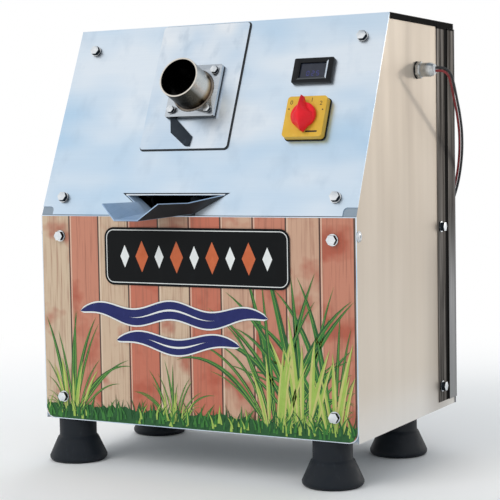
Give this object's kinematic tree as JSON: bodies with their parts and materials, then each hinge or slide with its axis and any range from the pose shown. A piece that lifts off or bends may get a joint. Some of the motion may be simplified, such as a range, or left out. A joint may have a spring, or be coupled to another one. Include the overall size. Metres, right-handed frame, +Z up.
{
  "type": "sugarcane juicer",
  "caption": "Electric cabinet sugarcane juicer with a feed tube, a pouring spout, a rotary switch, geared grooved rollers inside and rubber feet.",
  "frame": {"origin": "on the floor, under the middle of the object's footprint without its loose wires", "axes": "+X to the right seen from the front, +Y to the rear, +Z up"},
  "size_m": [0.4513, 0.3834, 0.512],
  "materials": {
    "panel_steel": "smooth bright stainless sheet",
    "side_steel": "stainless sheet with upright drawing streaks",
    "cover_steel": "darker stainless sheet",
    "printed_vinyl": "gloss printed film",
    "foot_rubber": "moulded black rubber",
    "zinc_fasteners": "bright zinc plate",
    "stainless_tube": "turned and welded stainless pipe",
    "gasket_rubber": "cut sheet rubber",
    "spout_steel": "folded stainless sheet",
    "yellow_plastic": "moulded plastic",
    "grey_plastic": "moulded plastic",
    "ground_steel": "ground bar",
    "red_plastic": "moulded plastic",
    "black_plastic": "moulded plastic",
    "smoked_lens": "dark clear lens",
    "plate_steel": "grey primer",
    "bush_bronze": "turned bronze",
    "roller_steel": "turned and grooved stainless",
    "gear_steel": "cut and oiled steel",
    "gearbox_paint": "enamel",
    "motor_paint": "enamel",
    "gland_metal": "nickel plate",
    "red_pvc": "extruded sheath",
    "black_pvc": "extruded sheath"
  },
  "bodies": {
    "cabinet": {"base_pan": "panel_steel", "sloped_panel": "panel_steel", "front_panel": "panel_steel", "feed_plate": "panel_steel", "side_panel_left": "side_steel", "side_panel_right": "side_steel", "top_rear_cover": "cover_steel", "front_print": "printed_vinyl", "foot_front_left": "foot_rubber", "foot_front_right": "foot_rubber", "foot_rear_left": "foot_rubber", "foot_rear_right": "foot_rubber", "foot_bolts": "zinc_fasteners", "front_bolts": "zinc_fasteners", "slope_bolts": "zinc_fasteners", "cover_bolts": "zinc_fasteners", "flange_bolts": "zinc_fasteners", "mill_bolts": "zinc_fasteners", "tie_nuts": "zinc_fasteners", "feed_tube": "stainless_tube", "flange_gasket": "gasket_rubber", "outlet_spout": "spout_steel", "juice_tray": "spout_steel", "waste_chute": "spout_steel", "switch_plate": "yellow_plastic", "switch_block": "grey_plastic", "tie_bars": "ground_steel", "gearbox_standoffs": "ground_steel", "meter_case": "black_plastic", "meter_lens": "smoked_lens", "mill_plate_left": "plate_steel", "mill_plate_right": "plate_steel", "mill_angles": "plate_steel", "lower_bush_left": "bush_bronze", "lower_bush_right": "bush_bronze", "upper_bush_left": "bush_bronze", "upper_bush_right": "bush_bronze", "gearbox": "gearbox_paint", "motor": "motor_paint", "gland_body": "gland_metal", "gland_dome_nut": "gland_metal", "gland_locknut": "gland_metal", "red_terminal": "gland_metal", "black_terminal": "gland_metal", "red_wire": "red_pvc", "black_wire": "black_pvc"},
    "lower_roller": {"lower_roller": "roller_steel", "lower_roller_gear": "gear_steel"},
    "upper_roller": {"upper_roller": "roller_steel", "upper_roller_gear": "gear_steel"},
    "drive": {"drive_pinion": "gear_steel", "output_shaft": "ground_steel"},
    "knob": {"switch_knob": "red_plastic", "switch_shaft": "ground_steel"}
  },
  "joints": [
    {"name": "lower_roller_spin", "type": "hinge", "parent": "cabinet", "child": "lower_roller", "pos_m": [-0.022, -0.04083, 0.37357], "axis": [1, 0, 0], "continuous": true},
    {"name": "upper_roller_spin", "type": "hinge", "parent": "cabinet", "child": "upper_roller", "pos_m": [-0.022, -0.01006, 0.44525], "axis": [1, 0, 0], "continuous": true},
    {"name": "pinion_spin", "type": "hinge", "parent": "cabinet", "child": "drive", "pos_m": [0.048, -0.0057, 0.3177], "axis": [1, 0, 0], "continuous": true},
    {"name": "switch_knob_turn", "type": "hinge", "parent": "cabinet", "child": "knob", "pos_m": [0.127, -0.09701, 0.39986], "axis": [0, -0.9189, 0.3944], "range_deg": [-45, 45]}
  ],
  "couplings": [
    {"joint": "upper_roller_spin", "follows": "lower_roller_spin", "ratio": -1},
    {"joint": "pinion_spin", "follows": "lower_roller_spin", "ratio": -1.4444}
  ]
}
